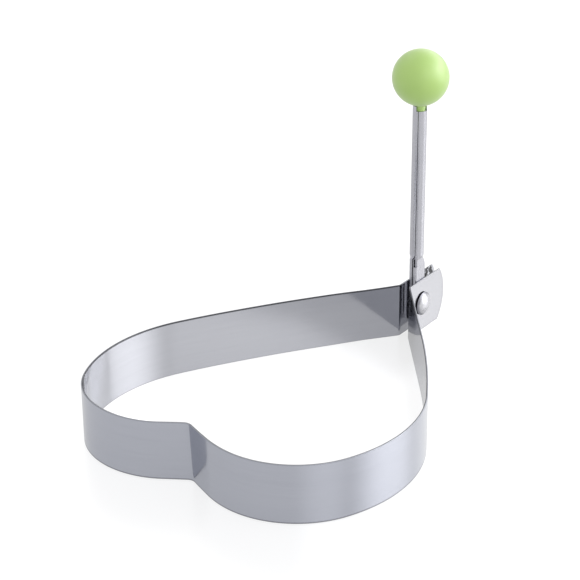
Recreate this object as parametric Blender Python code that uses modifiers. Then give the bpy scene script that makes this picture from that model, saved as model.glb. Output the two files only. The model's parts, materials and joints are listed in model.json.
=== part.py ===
"""Heart-shaped egg ring with a folding handle, in metres, +Z up, standing on its lower rim.

One strip of sheet is bent into the heart. Its two ends run on past the tip as parallel ears, and a
rivet through them carries the handle: a rolled tube whose foot is pressed flat to fit between the
ears. A plastic ball sits on top. The heart lies along X with its tip and ears towards +X, and the
hinge turns about Y.
"""
import math
from dataclasses import dataclass

import bmesh
import bpy
from mathutils import Matrix, Vector

# Gap between pieces that touch
CLEARANCE = 0.0003

# Strip, and the heart that it is bent to, measured on the middle of the sheet
STRIP_SHEET = 0.0005
STRIP_HEIGHT = 0.0160
RIM_ROUND = 0.0001
TIP_HALF_ANGLE = math.radians(36.8)
FLANK_RADIUS = 0.2560
FLANK_TURN = math.radians(7.9)
CHEST_RADIUS = 0.0416
CHEST_TURN = math.radians(55.5)
LOBE_RADIUS = 0.0241
CLEFT_RUN = 0.0070
CLEFT_RADIUS = 0.0025
CLEFT_HALF_ANGLE = math.radians(29.0)

# Ears and hinge: the front ear, at -Y, is under the rivet's head, and the rear ear runs on further
FOLD_RADIUS = 0.0012
FOLD_TO_HINGE = 0.0070
HINGE_HEIGHT = 0.0085
FRONT_EAR_END_RADIUS = 0.0124
REAR_EAR_END_RADIUS = 0.0136

# Handle: a rolled tube, with a foot pressed to a U about the hinge
HANDLE_SHEET = 0.0005
TUBE_DIAMETER = 0.0041
TUBE_SETBACK = 0.0007
SEAM_GAP = 0.00025
SEAM_TURN = math.radians(18.0)
MOUTH_NOTCH_DEPTH = 0.0021
MOUTH_NOTCH_BACK = 0.0004
FOOT_THICKNESS = 0.0022
FOOT_WIDTH = 0.0055
FOOT_DROP = 0.0053
FOOT_CORNER_RADIUS = 0.0014
FOOT_TAPER_LENGTH = 0.0028
NECK_CLEARANCE = 0.0006
NECK_LENGTH = 0.0013
SLOT_HEIGHT = 0.0035
SLOT_DEPTH = 0.0005

# Ball knob
KNOB_DIAMETER = 0.0160
KNOB_TO_HINGE = 0.0684
PEG_LENGTH = 0.0080
PEG_CHAMFER = 0.0004

# Rivet
SHANK_DIAMETER = 0.0025
HEAD_DIAMETER = 0.0070
HEAD_HEIGHT = 0.0016
HEAD_EDGE = 0.0002
TAIL_DIAMETER = 0.0044
TAIL_HEIGHT = 0.0008

# Smoothness of bends, turned pieces, the handle's sections and small curves, and how far a cut
# runs past what it cuts
BEND_STEP = math.radians(6.0)
CHORD = 0.0025
TURNED_STEPS = 40
SECTION_POINTS = 33
SMALL_STEPS = 7
OVERRUN = 0.0020

# Sizes that follow
EAR_INNER = FOOT_THICKNESS / 2 + CLEARANCE
EAR_MIDDLE = EAR_INNER + STRIP_SHEET / 2
EAR_OUTER = EAR_INNER + STRIP_SHEET
HOLE_DIAMETER = SHANK_DIAMETER + 2 * CLEARANCE
NECK_START = REAR_EAR_END_RADIUS + NECK_CLEARANCE
NECK_END = NECK_START + NECK_LENGTH
TAPER_START = NECK_START - FOOT_TAPER_LENGTH
TUBE_BACK = TUBE_DIAMETER / 2 - TUBE_SETBACK
TUBE_WALL_RADIUS = (TUBE_DIAMETER - HANDLE_SHEET) / 2
FOOT_BEND_RADIUS = (FOOT_THICKNESS - HANDLE_SHEET) / 2
KNOB_RADIUS = KNOB_DIAMETER / 2
SEAT_RADIUS = TUBE_DIAMETER / 2 + CLEARANCE
SEAT_LEVEL = KNOB_TO_HINGE - math.sqrt(KNOB_RADIUS**2 - SEAT_RADIUS**2)
TUBE_TOP = SEAT_LEVEL - CLEARANCE
PEG_RADIUS = TUBE_DIAMETER / 2 - HANDLE_SHEET - CLEARANCE


@dataclass(frozen=True)
class Run:
    """A straight stretch of the strip."""

    length: float


@dataclass(frozen=True)
class Bend:
    """A round stretch of the strip, whose turn is positive to the left."""

    radius: float
    turn: float


def direction(angle):
    """Unit vector in the plane at an angle from +X."""
    return Vector((math.cos(angle), math.sin(angle)))


def walk(start, heading, steps):
    """Points along a path of runs and bends that sets out from start."""
    points = [start]
    for step in steps:
        if isinstance(step, Run):
            points.append(points[-1] + step.length * direction(heading))
            continue
        to_centre = heading + math.copysign(math.pi / 2, step.turn)
        centre = points[-1] + step.radius * direction(to_centre)
        arm = points[-1] - centre
        arc_length = step.radius * abs(step.turn)
        count = math.ceil(max(abs(step.turn) / BEND_STEP, arc_length / CHORD))
        for index in range(1, count + 1):
            points.append(centre + Matrix.Rotation(step.turn * index / count, 2) @ arm)
        heading += step.turn
    return points


def half_outline():
    """Middle line of the strip on the +Y side, from the blank's end past the ear to the cleft.

    The hinge is at the origin. The straight side is as long as it takes for the cleft to meet the
    heart's middle plane.
    """
    lobe_turn = math.pi / 2 + TIP_HALF_ANGLE + CLEFT_HALF_ANGLE - FLANK_TURN - CHEST_TURN
    fold_tangent = FOLD_RADIUS * math.tan(TIP_HALF_ANGLE / 2)
    ear_end = REAR_EAR_END_RADIUS + OVERRUN
    ear = Run(ear_end + FOLD_TO_HINGE - fold_tangent)
    round_the_lobe = [
        Bend(FLANK_RADIUS, FLANK_TURN),
        Bend(CHEST_RADIUS, CHEST_TURN),
        Bend(LOBE_RADIUS, lobe_turn),
        Run(CLEFT_RUN),
        Bend(CLEFT_RADIUS, -CLEFT_HALF_ANGLE),
    ]
    start = Vector((ear_end, EAR_MIDDLE))
    fold = Bend(FOLD_RADIUS, -TIP_HALF_ANGLE)
    without_side = walk(start, math.pi, [ear, fold] + round_the_lobe)
    side = Run(-without_side[-1].y / math.sin(TIP_HALF_ANGLE))
    return walk(start, math.pi, [ear, fold, side] + round_the_lobe)


def heart_outline():
    """The whole middle line, from one ear round the heart to the other."""
    left = half_outline()
    left[-1].y = 0
    right = [Vector((point.x, -point.y)) for point in reversed(left[:-1])]
    return left + right


def clear_scene():
    """Removes whatever the scene holds."""
    for old in list(bpy.data.objects):
        bpy.data.objects.remove(old, do_unlink=True)


def new_collection(name):
    """A collection linked to the scene."""
    collection = bpy.data.collections.new(name)
    bpy.context.scene.collection.children.link(collection)
    return collection


def surface(name, colour, roughness, metallic):
    """A plain Principled material."""
    material = bpy.data.materials.new(name)
    material.use_nodes = True
    shader = material.node_tree.nodes["Principled BSDF"]
    shader.inputs["Base Color"].default_value = (*colour, 1.0)
    shader.inputs["Roughness"].default_value = roughness
    shader.inputs["Metallic"].default_value = metallic
    return material


def add_object(name, bm, collection, material=None):
    """An object made from a bmesh, which is freed."""
    mesh = bpy.data.meshes.new(name)
    bm.to_mesh(mesh)
    bm.free()
    item = bpy.data.objects.new(name, mesh)
    collection.objects.link(item)
    if material:
        mesh.materials.append(material)
    return item


def shade(item, crease=math.radians(35.0)):
    """Smooth shading, broken at the sharp edges."""
    item.data.shade_smooth()
    item.data.set_sharp_from_angle(angle=crease)


def mark_cutter(cutter):
    """Shows a cutter as wire only."""
    cutter.hide_render = True
    cutter.display_type = "WIRE"
    return cutter


def cut(item, cutter):
    """Takes the cutter's volume out of an object."""
    boolean = item.modifiers.new(cutter.name, "BOOLEAN")
    boolean.operation = "DIFFERENCE"
    boolean.solver = "EXACT"
    boolean.object = cutter


def thicken(item, sheet):
    """Gives an open surface the thickness of its sheet, half to each side."""
    solidify = item.modifiers.new("sheet", "SOLIDIFY")
    solidify.thickness = sheet
    solidify.offset = 0
    solidify.use_even_offset = True


def prism_cutter(name, outline, front, rear, cutters):
    """A flat outline in X and Z, drawn out along Y from front to rear."""
    bm = bmesh.new()
    corners = [bm.verts.new((x, front, z)) for x, z in outline]
    face = bm.faces.new(corners)
    drawn = bmesh.ops.extrude_face_region(bm, geom=[face])["geom"]
    moved = [part for part in drawn if isinstance(part, bmesh.types.BMVert)]
    bmesh.ops.translate(bm, verts=moved, vec=(0, rear - front, 0))
    bmesh.ops.recalc_face_normals(bm, faces=bm.faces)
    return mark_cutter(add_object(name, bm, cutters))


def hole_cutter(cutters, hinge_x):
    """The rivet's hole along Y, through ears and foot."""
    radius = HOLE_DIAMETER / 2
    bm = bmesh.new()
    bmesh.ops.create_cone(
        bm,
        cap_ends=True,
        segments=TURNED_STEPS,
        radius1=radius,
        radius2=radius,
        depth=2 * (EAR_OUTER + OVERRUN),
        matrix=Matrix.Rotation(math.pi / 2, 4, "X"),
    )
    cutter = mark_cutter(add_object("rivet_hole_cutter", bm, cutters))
    cutter.location = (hinge_x, 0, HINGE_HEIGHT)
    return cutter


def ear_end_cutter(name, radius, front, rear, cutters):
    """What is outside the round end of an ear, which is struck about the hinge."""
    far = REAR_EAR_END_RADIUS + 2 * OVERRUN
    count = TURNED_STEPS // 2
    rays = [direction(math.pi * (index / count - 1 / 2)) for index in range(count + 1)]
    outline = [(radius * ray.x, radius * ray.y) for ray in rays]
    outline += [(far, radius), (far, -radius)]
    return prism_cutter(name, outline, front, rear, cutters)


def foot_end_cutter(cutters):
    """What is below the handle's foot, with the foot's two rounded corners."""
    half = FOOT_WIDTH / 2
    reach = half + OVERRUN
    corner_x = half - FOOT_CORNER_RADIUS
    corner_z = FOOT_CORNER_RADIUS - FOOT_DROP
    rays = [direction(math.pi / 2 * index / SMALL_STEPS) for index in range(SMALL_STEPS + 1)]
    arc = [FOOT_CORNER_RADIUS * ray for ray in rays]
    right = [(corner_x + arm.x, corner_z - arm.y) for arm in arc]
    left = [(-x, z) for x, z in reversed(right)]
    floor = -FOOT_DROP - 2 * OVERRUN
    below = [(-reach, corner_z), (-reach, floor), (reach, floor)]
    outline = [(reach, corner_z)] + right + left + below
    return prism_cutter("foot_end_cutter", outline, -FOOT_THICKNESS, FOOT_THICKNESS, cutters)


def block_cutter(name, back, levels, sides, cutters):
    """A block from in front of the tube as far as its back, between two levels and two sides."""
    front = -TUBE_SETBACK - TUBE_DIAMETER / 2 - OVERRUN
    bottom, top = levels
    outline = [(front, bottom), (back, bottom), (back, top), (front, top)]
    return prism_cutter(name, outline, *sides, cutters)


def slot_cutter(cutters):
    """The slot under the wrapped lip, from the seam round to the front of the +Y leg."""
    back = SLOT_DEPTH - FOOT_WIDTH / 2
    lip = -TUBE_WALL_RADIUS * math.sin(SEAM_TURN)
    levels = (NECK_END - SLOT_HEIGHT, NECK_END)
    return block_cutter("slot_cutter", back, levels, (lip, TUBE_DIAMETER), cutters)


def mouth_cutter(cutters):
    """The notch in the tube's mouth, from its front round to the -Y side."""
    back = MOUTH_NOTCH_BACK - TUBE_SETBACK
    levels = (TUBE_TOP - MOUTH_NOTCH_DEPTH, TUBE_TOP + OVERRUN)
    return block_cutter("mouth_cutter", back, levels, (-TUBE_DIAMETER, 0), cutters)


def heart_strip(parts, cutters, steel, hinge_x, outline, hole):
    """The heart and its ears: an open ribbon thickened to sheet, then holed and trimmed."""
    bm = bmesh.new()
    lower = [bm.verts.new((point.x, point.y, 0)) for point in outline]
    rim = [bm.edges.new(pair) for pair in zip(lower, lower[1:])]
    drawn = bmesh.ops.extrude_edge_only(bm, edges=rim)["geom"]
    upper = [part for part in drawn if isinstance(part, bmesh.types.BMVert)]
    bmesh.ops.translate(bm, verts=upper, vec=(0, 0, STRIP_HEIGHT))
    strip = add_object("heart_strip", bm, parts, steel)
    strip.location = (hinge_x, 0, 0)
    thicken(strip, STRIP_SHEET)
    cut(strip, hole)
    side = EAR_OUTER + OVERRUN
    front_end = ear_end_cutter("front_ear_cutter", FRONT_EAR_END_RADIUS, -side, 0, cutters)
    rear_end = ear_end_cutter("rear_ear_cutter", REAR_EAR_END_RADIUS, 0, side, cutters)
    for end in (front_end, rear_end):
        end.location = (hinge_x, 0, HINGE_HEIGHT)
        cut(strip, end)
    rounding = strip.modifiers.new("rim", "BEVEL")
    rounding.width = RIM_ROUND
    rounding.limit_method = "ANGLE"
    rounding.angle_limit = math.radians(50.0)
    shade(strip)
    return strip


def tube_point(share):
    """Point of the rolled tube, from the -Y lip of the seam (-1) round the back to the other (1).

    The seam is turned towards -Y, so that the -Y lip stands over the front edge of the foot's leg
    and the other one is wrapped across the front.
    """
    angle = share * (math.pi - SEAM_GAP / 2 / TUBE_WALL_RADIUS) + SEAM_TURN
    return TUBE_WALL_RADIUS * direction(angle) - Vector((TUBE_SETBACK, 0))


def foot_point(share, back):
    """Point of the pressed foot: a half round at the back and two straight legs to the front."""
    centre = back - HANDLE_SHEET / 2 - FOOT_BEND_RADIUS
    quarter = FOOT_BEND_RADIUS * math.pi / 2
    leg = FOOT_WIDTH / 2 + centre
    along = abs(share) * (quarter + leg)
    if along < quarter:
        angle = math.copysign(along / FOOT_BEND_RADIUS, share)
        return Vector((centre, 0)) + FOOT_BEND_RADIUS * direction(angle)
    return Vector((centre - along + quarter, math.copysign(FOOT_BEND_RADIUS, share)))


def handle_levels():
    """Heights of the handle's sections above the hinge, each with its roundness."""
    levels = [(-FOOT_DROP - OVERRUN, 0), (TAPER_START, 0)]
    for row in range(SMALL_STEPS + 1):
        share = row / SMALL_STEPS
        levels.append((NECK_START + share * NECK_LENGTH, share * share * (3 - 2 * share)))
    return levels + [(TUBE_TOP, 1)]


def foot_back(height):
    """How far the foot reaches back, which tapers to the tube's back at the neck."""
    share = (height - TAPER_START) / (NECK_END - TAPER_START)
    return FOOT_WIDTH / 2 + (TUBE_BACK - FOOT_WIDTH / 2) * min(max(share, 0), 1)


def rolled_handle(parts, cutters, steel, pivot, hole):
    """The handle: a loft from the flat foot to the round tube, thickened to sheet."""
    shares = [2 * index / (SECTION_POINTS - 1) - 1 for index in range(SECTION_POINTS)]
    bm = bmesh.new()
    rows = []
    for height, roundness in handle_levels():
        back = foot_back(height)
        middle = [foot_point(share, back).lerp(tube_point(share), roundness) for share in shares]
        rows.append([bm.verts.new((point.x, point.y, height)) for point in middle])
    for lower, upper in zip(rows, rows[1:]):
        for index in range(SECTION_POINTS - 1):
            bm.faces.new((lower[index], lower[index + 1], upper[index + 1], upper[index]))
    handle = add_object("rolled_handle", bm, parts, steel)
    handle.parent = pivot
    thicken(handle, HANDLE_SHEET)
    cut(handle, hole)
    for cutter in (foot_end_cutter(cutters), slot_cutter(cutters), mouth_cutter(cutters)):
        cutter.parent = pivot
        cut(handle, cutter)
    shade(handle)
    return handle


def turned(name, profile, collection, material):
    """A turned piece: a profile of (radius, height) pairs, from top to bottom, spun about Z."""
    bm = bmesh.new()
    points = [bm.verts.new((radius, 0, height)) for radius, height in profile]
    for pair in zip(points, points[1:]):
        bm.edges.new(pair)
    item = add_object(name, bm, collection, material)
    screw = item.modifiers.new("turning", "SCREW")
    screw.steps = TURNED_STEPS
    screw.render_steps = TURNED_STEPS
    screw.use_merge_vertices = True
    screw.merge_threshold = CLEARANCE / TURNED_STEPS
    screw.use_smooth_shade = True
    return item


def ball_knob(parts, plastic, pivot):
    """The ball, with a flat seat for the tube's end and a peg that goes down inside the tube."""
    count = TURNED_STEPS // 2
    seat_angle = math.pi - math.asin(SEAT_RADIUS / KNOB_RADIUS)
    angles = [seat_angle * index / count for index in range(count + 1)]
    ball = [(KNOB_RADIUS * math.sin(angle), KNOB_RADIUS * math.cos(angle)) for angle in angles]
    seat = SEAT_LEVEL - KNOB_TO_HINGE
    end = seat - PEG_LENGTH
    point = [(PEG_RADIUS, end + PEG_CHAMFER), (PEG_RADIUS - PEG_CHAMFER, end), (0, end)]
    peg = [(PEG_RADIUS, seat)] + point
    knob = turned("ball_knob", ball + peg, parts, plastic)
    knob.location = (-TUBE_SETBACK, 0, KNOB_TO_HINGE)
    knob.parent = pivot
    return knob


def dome(radius, height, base):
    """A shallow round cap from its crown down to its rim, which lies at the base."""
    curvature = (radius**2 + height**2) / 2 / height
    opening = math.asin(radius / curvature)
    angles = [opening * index / SMALL_STEPS for index in range(SMALL_STEPS + 1)]
    sunk = base + height - curvature
    return [(curvature * math.sin(angle), sunk + curvature * math.cos(angle)) for angle in angles]


def rivet(parts, steel, hinge_x):
    """The rivet: a domed head at -Y, the shank through ears and foot, and the closed tail at +Y."""
    shank = SHANK_DIAMETER / 2
    seat = EAR_OUTER + CLEARANCE
    head = dome(HEAD_DIAMETER / 2, HEAD_HEIGHT - HEAD_EDGE, seat + HEAD_EDGE)
    closed = dome(TAIL_DIAMETER / 2, TAIL_HEIGHT, seat)
    tail = [(radius, -height) for radius, height in reversed(closed)]
    stem = [(HEAD_DIAMETER / 2, seat), (shank, seat), (shank, -seat)]
    pin = turned("hinge_rivet", head + stem + tail, parts, steel)
    pin.location = (hinge_x, 0, HINGE_HEIGHT)
    pin.rotation_euler = (math.pi / 2, 0, 0)
    return pin


def main():
    """Builds the ring with its bounding box centred on the origin and its rim at zero height."""
    clear_scene()
    parts = new_collection("heart_egg_ring")
    cutters = new_collection("cutters")
    steel = surface("polished_stainless", (0.60, 0.61, 0.64), 0.22, 1.0)
    handle_steel = surface("handle_stainless", (0.66, 0.66, 0.68), 0.28, 1.0)
    rivet_steel = surface("rivet_steel", (0.74, 0.74, 0.76), 0.20, 1.0)
    plastic = surface("green_plastic", (0.40, 0.63, 0.17), 0.38, 0.0)

    outline = heart_outline()
    lobe_end = min(point.x for point in outline) - STRIP_SHEET / 2
    hinge_x = (REAR_EAR_END_RADIUS - lobe_end) / 2 - REAR_EAR_END_RADIUS
    pivot = bpy.data.objects.new("handle_pivot", None)
    parts.objects.link(pivot)
    pivot.location = (hinge_x, 0, HINGE_HEIGHT)

    hole = hole_cutter(cutters, hinge_x)
    heart_strip(parts, cutters, steel, hinge_x, outline, hole)
    rolled_handle(parts, cutters, handle_steel, pivot, hole)
    ball_knob(parts, plastic, pivot)
    rivet(parts, rivet_steel, hinge_x)


main()
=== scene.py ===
"""Looks of the heart-shaped egg ring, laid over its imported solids, in metres.

Every piece is a surface worked out as whole arrays: a section carried along the strip's path, a
section lofted up the handle, or a profile turned about an axis. The hinge's place is taken from the
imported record, and all the rest follows from the sizes held by each class.
"""
import json
import logging
import math
from dataclasses import dataclass, field
from enum import Enum
from typing import Any, Callable

import bmesh
import bpy
import numpy as np
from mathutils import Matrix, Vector

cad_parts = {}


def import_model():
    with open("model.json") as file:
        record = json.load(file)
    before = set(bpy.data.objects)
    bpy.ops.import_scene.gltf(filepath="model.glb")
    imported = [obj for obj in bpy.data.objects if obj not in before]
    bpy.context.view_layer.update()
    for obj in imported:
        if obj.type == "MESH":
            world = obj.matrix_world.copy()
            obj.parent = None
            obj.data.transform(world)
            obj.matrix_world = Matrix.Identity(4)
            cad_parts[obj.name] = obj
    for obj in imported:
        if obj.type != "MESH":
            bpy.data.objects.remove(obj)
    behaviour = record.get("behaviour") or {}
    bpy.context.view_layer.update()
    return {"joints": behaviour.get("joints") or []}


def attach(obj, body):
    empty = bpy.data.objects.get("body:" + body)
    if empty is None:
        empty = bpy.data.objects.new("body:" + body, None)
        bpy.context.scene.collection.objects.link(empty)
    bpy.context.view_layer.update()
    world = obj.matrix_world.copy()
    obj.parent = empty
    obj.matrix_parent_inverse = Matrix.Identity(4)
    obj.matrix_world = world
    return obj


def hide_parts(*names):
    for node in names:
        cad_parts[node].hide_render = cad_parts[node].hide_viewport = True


LOG = logging.getLogger("egg_ring")
MM = 0.001


class Part(Enum):
    """The ring's pieces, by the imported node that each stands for."""

    STRIP = "heart_strip"
    HANDLE = "rolled_handle"
    KNOB = "ball_knob"
    RIVET = "hinge_rivet"


class Carrier(Enum):
    """The bodies that pieces ride on."""

    RING = "ring"
    HANDLE = "handle"


class Slot(Enum):
    """The record's material slots."""

    STRIP = "strip_steel"
    HANDLE = "handle_steel"
    KNOB = "knob_plastic"
    RIVET = "rivet_steel"


# Shader maths


class Value:
    """A number that varies over a surface, so that sums on it read as sums."""

    def __init__(self, board: "Board", socket: bpy.types.NodeSocket) -> None:
        """Wraps a node's output socket on its board."""
        self.board = board
        self.socket = socket

    def math(self, operation: str, *others: Any, clamp: bool = False) -> "Value":
        """Adds a Math node.

        Args:
            operation: Blender's name for the operation.
            others: the further operands, numbers or values.
            clamp: whether the result is kept between 0 and 1.

        Returns:
            The node's result.
        """
        sockets = {index: operand for index, operand in enumerate((self, *others))}
        made = self.board.node("ShaderNodeMath", {"operation": operation, "use_clamp": clamp}, sockets)
        return Value(self.board, made.outputs[0])

    def __add__(self, other: Any) -> "Value":
        """Sum."""
        return self.math("ADD", other)

    __radd__ = __add__

    def __mul__(self, other: Any) -> "Value":
        """Product."""
        return self.math("MULTIPLY", other)

    __rmul__ = __mul__

    def __sub__(self, other: Any) -> "Value":
        """Difference."""
        return self.math("SUBTRACT", other)

    def __rsub__(self, other: float) -> "Value":
        """A number less this value."""
        return (self * -1.0) + other

    def __truediv__(self, other: Any) -> "Value":
        """Quotient."""
        return self.math("DIVIDE", other)

    def __pow__(self, other: float) -> "Value":
        """Power."""
        return self.math("POWER", other)

    def ramp(self, start: float, end: float) -> "Value":
        """Smooth rise from 0 at start to 1 at end.

        Args:
            start: where the rise begins; it may lie above end, for a fall.
            end: where the rise is over.

        Returns:
            The risen value, between 0 and 1.
        """
        settings = {"interpolation_type": "SMOOTHSTEP", "clamp": True}
        sockets = {0: self, 1: start, 2: end, 3: 0.0, 4: 1.0}
        return Value(self.board, self.board.node("ShaderNodeMapRange", settings, sockets).outputs[0])


class Board:
    """The node tree of a material, lamp or surround, and the one way that nodes are put on it."""

    def __init__(self, owner: Any, output: str = "ShaderNodeOutputMaterial") -> None:
        """Empties the owner's tree and gives it an output node.

        Args:
            owner: the material, lamp or world that holds the tree.
            output: Blender's name for the output node's type.
        """
        owner.use_nodes = True
        self.owner = owner
        self.tree = owner.node_tree
        self.tree.nodes.clear()
        self.output = self.tree.nodes.new(output)

    @classmethod
    def for_material(cls, name: str) -> "Board":
        """A board on a new material."""
        return cls(bpy.data.materials.new(name))

    def node(self, kind: str, settings: dict[str, Any], inputs: dict[Any, Any]) -> bpy.types.Node:
        """Adds a node of any type.

        Args:
            kind: Blender's name for the node type.
            settings: properties, set before the sockets.
            inputs: sockets by name or number, each with a number, a colour, a value or an output.

        Returns:
            The new node.
        """
        made = self.tree.nodes.new(kind)
        for key, setting in settings.items():
            setattr(made, key, setting)
        for key, given in inputs.items():
            source = given.socket if isinstance(given, Value) else given
            if isinstance(source, bpy.types.NodeSocket):
                self.tree.links.new(source, made.inputs[key])
            else:
                made.inputs[key].default_value = source
        return made

    def finish(self, shader: bpy.types.Node) -> Any:
        """Joins the shader to the output and gives back the tree's owner."""
        self.tree.links.new(shader.outputs[0], self.output.inputs["Surface"])
        return self.owner

    def object_place(self) -> bpy.types.NodeSocket:
        """The point's place in the piece's own coordinates."""
        return self.node("ShaderNodeTexCoord", {}, {}).outputs["Object"]

    def pair(self, name: str) -> tuple[Value, Value]:
        """Reads a map that the piece's mesh carries.

        Args:
            name: the map's name.

        Returns:
            The map's two numbers.
        """
        read = self.node("ShaderNodeUVMap", {"uv_map": name}, {})
        parts = self.node("ShaderNodeSeparateXYZ", {}, {0: read.outputs[0]})
        return Value(self, parts.outputs[0]), Value(self, parts.outputs[1])

    def place(self, x: Any, y: Any, z: Any = 0.0) -> bpy.types.NodeSocket:
        """A point put together from three numbers or values."""
        return self.node("ShaderNodeCombineXYZ", {}, {0: x, 1: y, 2: z}).outputs[0]

    def noise(self, place: bpy.types.NodeSocket, scale: float, detail: float = 2.0) -> Value:
        """Cloudy noise.

        Args:
            place: where it is read.
            scale: clouds in a metre.
            detail: octaves of finer clouds.

        Returns:
            Noise between 0 and 1, about a middle of 0.5.
        """
        settings = {"noise_dimensions": "3D", "normalize": True}
        sockets = {"Vector": place, "Scale": scale, "Detail": detail}
        return Value(self, self.node("ShaderNodeTexNoise", settings, sockets).outputs[0])

    def blend(self, share: Any, first: Any, second: Any) -> bpy.types.NodeSocket:
        """A colour between two colours.

        Args:
            share: 0 for the first colour, 1 for the second.
            first: a colour or a colour output.
            second: a colour or a colour output.

        Returns:
            The mixed colour.
        """
        settings = {"data_type": "RGBA", "blend_type": "MIX", "clamp_factor": True}
        return self.node("ShaderNodeMix", settings, {0: share, 6: first, 7: second}).outputs[2]

    def multiply(self, first: Any, second: Any) -> bpy.types.NodeSocket:
        """The product of two colours or colour outputs."""
        settings = {"data_type": "RGBA", "blend_type": "MULTIPLY", "clamp_factor": True}
        return self.node("ShaderNodeMix", settings, {0: 1.0, 6: first, 7: second}).outputs[2]

    def bump(self, height: Value, depth: float) -> bpy.types.NodeSocket:
        """A normal tipped by a height that runs from 0 to 1 over the given depth in metres."""
        sockets = {"Strength": 1.0, "Distance": depth, "Height": height}
        return self.node("ShaderNodeBump", {}, sockets).outputs["Normal"]


# Finishes

Colour = tuple[float, float, float, float]
WHITE: Colour = (1.0, 1.0, 1.0, 1.0)


@dataclass(frozen=True)
class RolledSheetFinish:
    """Bright cold-rolled stainless sheet: near-mirror, with the mill's grain along the strip.

    The mesh carries the maps "sheet", in metres along the strip and up it, and "side", whose first
    number runs from 1 inside the heart to -1 outside it and whose second is the distance to the nearer
    end of the strip. Scales are in clouds to a metre; a pair of them is along the strip and up it.
    """

    name: str = "rolled_strip_steel"
    height: float = 16.0 * MM
    inner: Colour = (0.520, 0.528, 0.566, 1.0)
    outer: Colour = (0.504, 0.520, 0.578, 1.0)
    pressed: Colour = (0.542, 0.544, 0.574, 1.0)
    grain_tone: Colour = (0.95, 0.95, 0.955, 1.0)
    # Painted shade: the near-black colour of the lines and band along the rims.
    painted_rim_shade: Colour = (0.060, 0.060, 0.068, 1.0)
    # Painted shade: the near-black colour of the patches inside the ears.
    painted_throat_shade: Colour = (0.045, 0.045, 0.050, 1.0)
    roughness: float = 0.10
    outer_roughness: float = 0.16
    grain_spread: float = 0.03
    cloud_spread: float = 0.03
    rim_roughness: float = 0.16
    patch_roughness: float = 0.15
    across_grain: float = 0.55
    grain_turn: float = 0.25
    grain_scales: tuple[float, float] = (90.0, 2200.0)
    streak_scales: tuple[float, float] = (12.0, 700.0)
    streak_depth: float = 7.0
    cloud_scale: float = 28.0
    line_share: float = 0.3
    cloud_share: float = 0.4
    tone_range: tuple[float, float] = (0.32, 0.68)
    relief_share: float = 0.6
    relief_depth: float = 0.0004 * MM
    inside_range: tuple[float, float] = (-0.4, 0.4)
    outside_range: tuple[float, float] = (0.5, -0.5)
    # Painted shade along the rims: a band on both rims, and a line on one side of each.
    rim_width: float = 0.30 * MM
    rim_strength: float = 0.35
    rim_line_width: float = 0.50 * MM
    rim_line_strength: float = 0.9
    lower_rim_line: float = 0.55
    ear_length: float = 19.0 * MM
    # Painted shade patches inside the ears: their noise, reach and share on the front ear.
    patch_scale: float = 700.0
    throat_shade_range: tuple[float, float] = (0.40, 0.47)
    foot_reach: float = 9.0 * MM
    reach_fade: float = 1.2
    unshaded_end: float = 1.6 * MM
    front_throat_shade: float = 0.3

    def rim_shade_lines(self, up: Value, side: Value, outside: Value) -> Value:
        """A painted shade line along the rims, inside at the upper rim and weaker outside at the lower.

        Args:
            up: the height on the strip.
            side: 1 on the sheet's inside to -1 on its outside.
            outside: 1 outside the heart and 0 inside it.

        Returns:
            How much painted shade the line lays on, from 0 to 1.
        """
        middle = self.rim_line_width / 2
        above = up.ramp(self.height - self.rim_line_width, self.height - middle)
        below = up.ramp(self.rim_line_width, middle)
        return above * side.ramp(*self.inside_range) + below * outside * self.lower_rim_line

    def throat_shaded(self, board: Board, along: Value, to_end: Value, outside: Value) -> Value:
        """Painted shade in patches inside the ears, within the foot's reach of their ends, weaker on the
        front ear.

        Args:
            board: the material's board.
            along: the way along the strip from the rear ear's end.
            to_end: the distance to the nearer end.
            outside: 1 outside the heart and 0 inside it.

        Returns:
            How much painted shade lies there, from 0 to 1.
        """
        patches = board.noise(board.object_place(), self.patch_scale).ramp(*self.throat_shade_range)
        past_edge = to_end.ramp(self.unshaded_end / 2, self.unshaded_end)
        in_throat = past_edge * to_end.ramp(self.foot_reach * self.reach_fade, self.foot_reach)
        on_rear = along.ramp(2 * self.foot_reach, self.foot_reach)
        share = on_rear * (1.0 - self.front_throat_shade) + self.front_throat_shade
        return (1.0 - outside) * in_throat * patches * share

    def material(self) -> bpy.types.Material:
        """Grain and streaks are noise drawn out along the strip, under soft clouds of the mill's tone.

        Shade is painted as dark lines and a band along the rims, and in dark patches inside the ears,
        between them and the handle's foot.

        Returns:
            The strip's material.
        """
        board = Board.for_material(self.name)
        along, up = board.pair("sheet")
        side, to_end = board.pair("side")
        fine, coarse = self.grain_scales, self.streak_scales
        grain = board.noise(board.place(along * fine[0], up * fine[1]), 1.0, detail=4.0)
        drawn = board.place(along * coarse[0], up * coarse[1], self.streak_depth)
        streaks = board.noise(drawn, 1.0, detail=3.0)
        clouds = board.noise(board.object_place(), self.cloud_scale)

        outside = side.ramp(*self.outside_range)
        on_heart = to_end.ramp(self.ear_length, self.ear_length + MM)
        # Painted shade on the rims: lines kept off the ears, and a band on both rims.
        rim_line = self.rim_shade_lines(up, side, outside) * on_heart
        rim = up.math("MINIMUM", self.height - up).ramp(self.rim_width, 0.0)
        # Painted shade: dark patches inside the ears, near their ends.
        throat_shade_share = self.throat_shaded(board, along, to_end, outside)

        tone = grain * self.line_share + streaks * self.line_share + clouds * self.cloud_share
        shade = board.blend(outside, self.inner, board.blend(on_heart, self.pressed, self.outer))
        grained = board.multiply(board.blend(tone.ramp(*self.tone_range), self.grain_tone, WHITE), shade)
        # The colour with the painted shade patches laid in.
        painted_shade = board.blend(throat_shade_share, grained, self.painted_throat_shade)
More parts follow.
